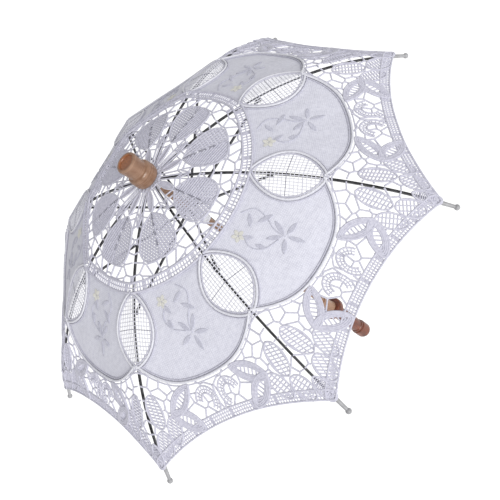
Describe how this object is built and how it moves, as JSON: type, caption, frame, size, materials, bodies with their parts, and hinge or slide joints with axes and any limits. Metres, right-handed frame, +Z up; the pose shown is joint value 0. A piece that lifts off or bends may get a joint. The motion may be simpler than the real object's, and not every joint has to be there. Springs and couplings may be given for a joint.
{
  "type": "parasol",
  "caption": "Open lace parasol with a turned wooden handle, sprung shaft catches, a sliding runner, hinged curved ribs and struts, and a domed lace canopy that folds down.",
  "frame": {"origin": "lowest point of the handle's rounded end, on the shaft's axis, at rest with the canopy open", "axes": "+Z up the shaft from the handle to the ferrule; +X along the first rib"},
  "size_m": [0.566, 0.566, 0.4937],
  "materials": {
    "shaft_wood": "satin",
    "light_wood": "satin",
    "brown_wood": "gloss",
    "steel": "satin",
    "white_plastic": "satin",
    "white_fabric": "matte"
  },
  "bodies": {
    "pole": {"wooden_shaft": "shaft_wood", "ferrule": "light_wood", "top_notch": "white_plastic", "notch_wire": "steel", "canopy_rosette": "white_fabric", "stop_pin": "steel", "catch_pins": "steel", "handle_taper": "light_wood", "handle_collar": "brown_wood", "handle_grip": "brown_wood", "handle_knob": "brown_wood"},
    "runner": {"runner_crown": "white_plastic", "runner_sleeve": "white_plastic"},
    "upper_catch": {"top_catch": "steel"},
    "lower_catch": {"bottom_catch": "steel"},
    "rib_1": {"rib_1": "steel", "rib_tip_1": "white_plastic", "rib_joint_1": "steel", "canopy_gore_1": "white_fabric"},
    "strut_1": {"strut_1": "steel"},
    "rib_2": {"rib_2": "steel", "rib_tip_2": "white_plastic", "rib_joint_2": "steel", "canopy_gore_2": "white_fabric"},
    "strut_2": {"strut_2": "steel"},
    "rib_3": {"rib_3": "steel", "rib_tip_3": "white_plastic", "rib_joint_3": "steel", "canopy_gore_3": "white_fabric"},
    "strut_3": {"strut_3": "steel"},
    "rib_4": {"rib_4": "steel", "rib_tip_4": "white_plastic", "rib_joint_4": "steel", "canopy_gore_4": "white_fabric"},
    "strut_4": {"strut_4": "steel"},
    "rib_5": {"rib_5": "steel", "rib_tip_5": "white_plastic", "rib_joint_5": "steel", "canopy_gore_5": "white_fabric"},
    "strut_5": {"strut_5": "steel"},
    "rib_6": {"rib_6": "steel", "rib_tip_6": "white_plastic", "rib_joint_6": "steel", "canopy_gore_6": "white_fabric"},
    "strut_6": {"strut_6": "steel"},
    "rib_7": {"rib_7": "steel", "rib_tip_7": "white_plastic", "rib_joint_7": "steel", "canopy_gore_7": "white_fabric"},
    "strut_7": {"strut_7": "steel"},
    "rib_8": {"rib_8": "steel", "rib_tip_8": "white_plastic", "rib_joint_8": "steel", "canopy_gore_8": "white_fabric"},
    "strut_8": {"strut_8": "steel"}
  },
  "joints": [
    {"name": "runner_slide", "type": "slide", "parent": "pole", "child": "runner", "axis": [0, 0, -1], "range_m": [0, 0.19105]},
    {"name": "upper_catch_press", "type": "hinge", "parent": "pole", "child": "upper_catch", "pos_m": [0.00212, 0.00088, 0.33752], "axis": [0.3827, -0.9239, 0], "range_deg": [0, 2.5], "stiffness_Nm_per_rad": 0.6, "springref_deg": -6.88},
    {"name": "lower_catch_press", "type": "hinge", "parent": "pole", "child": "lower_catch", "pos_m": [0.00212, 0.00088, 0.23398], "axis": [-0.3827, 0.9239, 0], "range_deg": [0, 2.5], "stiffness_Nm_per_rad": 0.6, "springref_deg": -6.88},
    {"name": "rib_1_fold", "type": "hinge", "parent": "pole", "child": "rib_1", "pos_m": [0.008, 0, 0.455], "axis": [0, 1, 0], "range_deg": [0, 60.5], "deforming": ["canopy_gore_1"]},
    {"name": "strut_1_swing", "type": "hinge", "parent": "rib_1", "child": "strut_1", "pos_m": [0.13567, 0, 0.42663], "axis": [0, -1, 0], "range_deg": [0, 119.76]},
    {"name": "rib_2_fold", "type": "hinge", "parent": "pole", "child": "rib_2", "pos_m": [0.00566, 0.00566, 0.455], "axis": [-0.7071, 0.7071, 0], "range_deg": [0, 60.5], "deforming": ["canopy_gore_2"]},
    {"name": "strut_2_swing", "type": "hinge", "parent": "rib_2", "child": "strut_2", "pos_m": [0.09593, 0.09593, 0.42663], "axis": [0.7071, -0.7071, 0], "range_deg": [0, 119.76]},
    {"name": "rib_3_fold", "type": "hinge", "parent": "pole", "child": "rib_3", "pos_m": [0, 0.008, 0.455], "axis": [-1, 0, 0], "range_deg": [0, 60.5], "deforming": ["canopy_gore_3"]},
    {"name": "strut_3_swing", "type": "hinge", "parent": "rib_3", "child": "strut_3", "pos_m": [0, 0.13567, 0.42663], "axis": [1, 0, 0], "range_deg": [0, 119.76]},
    {"name": "rib_4_fold", "type": "hinge", "parent": "pole", "child": "rib_4", "pos_m": [-0.00566, 0.00566, 0.455], "axis": [-0.7071, -0.7071, 0], "range_deg": [0, 60.5], "deforming": ["canopy_gore_4"]},
    {"name": "strut_4_swing", "type": "hinge", "parent": "rib_4", "child": "strut_4", "pos_m": [-0.09593, 0.09593, 0.42663], "axis": [0.7071, 0.7071, 0], "range_deg": [0, 119.76]},
    {"name": "rib_5_fold", "type": "hinge", "parent": "pole", "child": "rib_5", "pos_m": [-0.008, 0, 0.455], "axis": [0, -1, 0], "range_deg": [0, 60.5], "deforming": ["canopy_gore_5"]},
    {"name": "strut_5_swing", "type": "hinge", "parent": "rib_5", "child": "strut_5", "pos_m": [-0.13567, 0, 0.42663], "axis": [0, 1, 0], "range_deg": [0, 119.76]},
    {"name": "rib_6_fold", "type": "hinge", "parent": "pole", "child": "rib_6", "pos_m": [-0.00566, -0.00566, 0.455], "axis": [0.7071, -0.7071, 0], "range_deg": [0, 60.5], "deforming": ["canopy_gore_6"]},
    {"name": "strut_6_swing", "type": "hinge", "parent": "rib_6", "child": "strut_6", "pos_m": [-0.09593, -0.09593, 0.42663], "axis": [-0.7071, 0.7071, 0], "range_deg": [0, 119.76]},
    {"name": "rib_7_fold", "type": "hinge", "parent": "pole", "child": "rib_7", "pos_m": [0, -0.008, 0.455], "axis": [1, 0, 0], "range_deg": [0, 60.5], "deforming": ["canopy_gore_7"]},
    {"name": "strut_7_swing", "type": "hinge", "parent": "rib_7", "child": "strut_7", "pos_m": [0, -0.13567, 0.42663], "axis": [-1, 0, 0], "range_deg": [0, 119.76]},
    {"name": "rib_8_fold", "type": "hinge", "parent": "pole", "child": "rib_8", "pos_m": [0.00566, -0.00566, 0.455], "axis": [0.7071, 0.7071, 0], "range_deg": [0, 60.5], "deforming": ["canopy_gore_8"]},
    {"name": "strut_8_swing", "type": "hinge", "parent": "rib_8", "child": "strut_8", "pos_m": [0.09593, -0.09593, 0.42663], "axis": [-0.7071, -0.7071, 0], "range_deg": [0, 119.76]}
  ],
  "couplings": [
    {"joint": "rib_1_fold", "follows": "runner_slide", "rad_per_m": 5.527},
    {"joint": "strut_1_swing", "follows": "runner_slide", "rad_per_m": 10.941},
    {"joint": "rib_2_fold", "follows": "runner_slide", "rad_per_m": 5.527},
    {"joint": "strut_2_swing", "follows": "runner_slide", "rad_per_m": 10.941},
    {"joint": "rib_3_fold", "follows": "runner_slide", "rad_per_m": 5.527},
    {"joint": "strut_3_swing", "follows": "runner_slide", "rad_per_m": 10.941},
    {"joint": "rib_4_fold", "follows": "runner_slide", "rad_per_m": 5.527},
    {"joint": "strut_4_swing", "follows": "runner_slide", "rad_per_m": 10.941},
    {"joint": "rib_5_fold", "follows": "runner_slide", "rad_per_m": 5.527},
    {"joint": "strut_5_swing", "follows": "runner_slide", "rad_per_m": 10.941},
    {"joint": "rib_6_fold", "follows": "runner_slide", "rad_per_m": 5.527},
    {"joint": "strut_6_swing", "follows": "runner_slide", "rad_per_m": 10.941},
    {"joint": "rib_7_fold", "follows": "runner_slide", "rad_per_m": 5.527},
    {"joint": "strut_7_swing", "follows": "runner_slide", "rad_per_m": 10.941},
    {"joint": "rib_8_fold", "follows": "runner_slide", "rad_per_m": 5.527},
    {"joint": "strut_8_swing", "follows": "runner_slide", "rad_per_m": 10.941}
  ]
}
